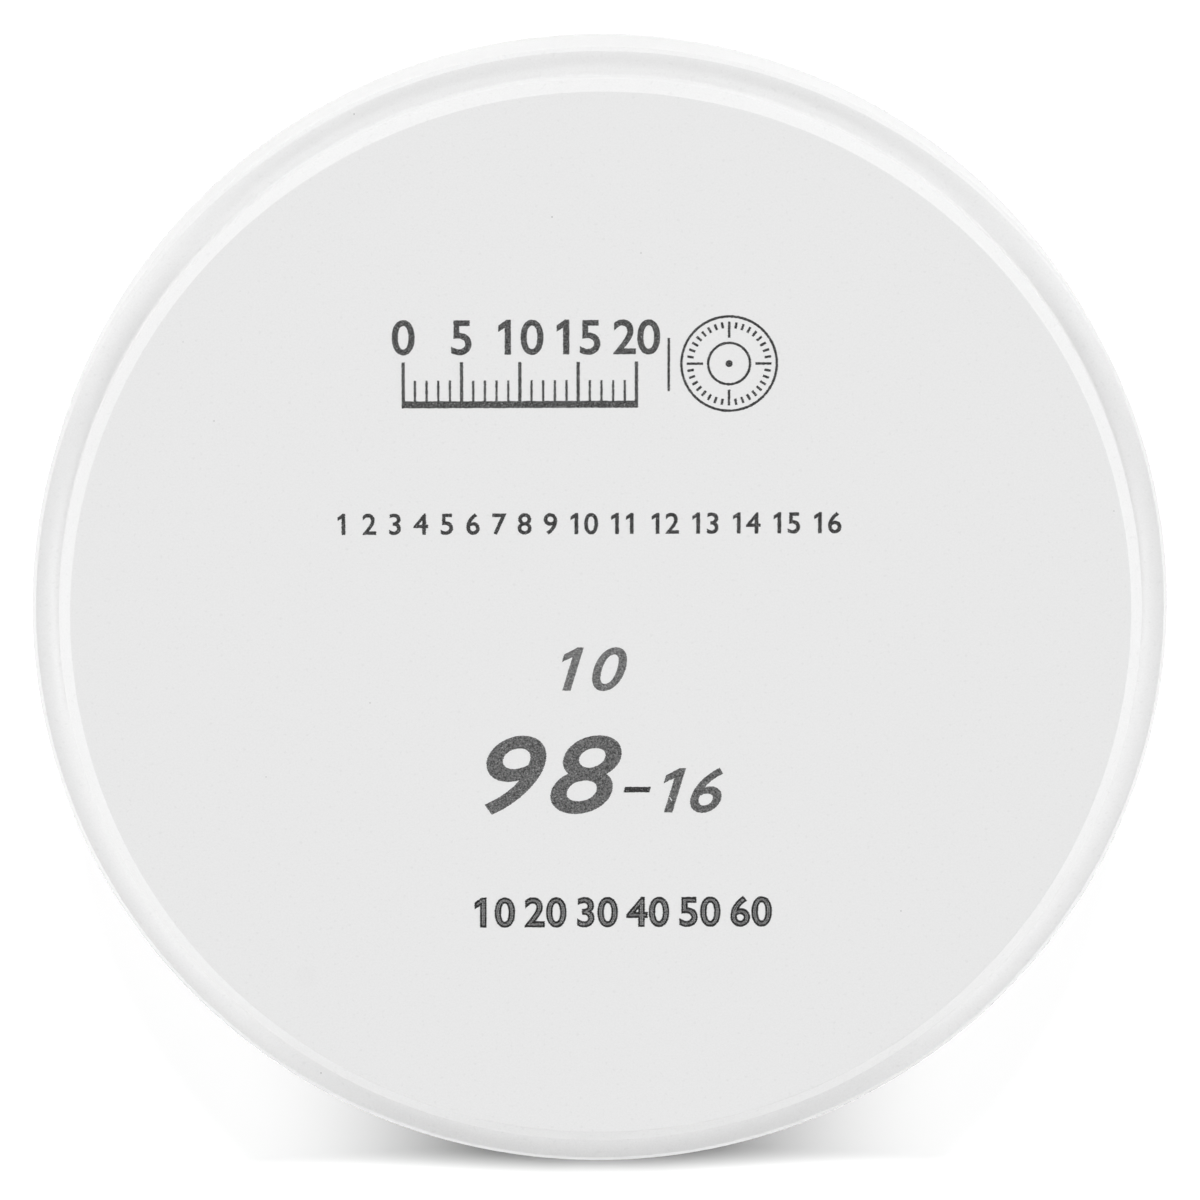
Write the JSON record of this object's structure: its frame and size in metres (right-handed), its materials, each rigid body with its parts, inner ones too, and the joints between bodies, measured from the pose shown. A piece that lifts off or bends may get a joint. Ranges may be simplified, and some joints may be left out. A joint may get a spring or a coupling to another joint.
{
  "type": "dental milling disc",
  "caption": "Round white ceramic blank with a clamping collar round its middle and a chamfered boss on each face, for milling crowns and bridges.",
  "frame": {"origin": "centre of the back face, which the disc lies on", "axes": "+Z along the disc's axis, out of the printed front face; +Y towards the top of the print; +X to its right"},
  "size_m": [0.0984, 0.0984, 0.016],
  "materials": {
    "chalky_zirconia": "matt, chalky, very fine grain, as pressed and turned before sintering"
  },
  "bodies": {
    "root": {"milling_disc": "chalky_zirconia"}
  },
  "joints": []
}
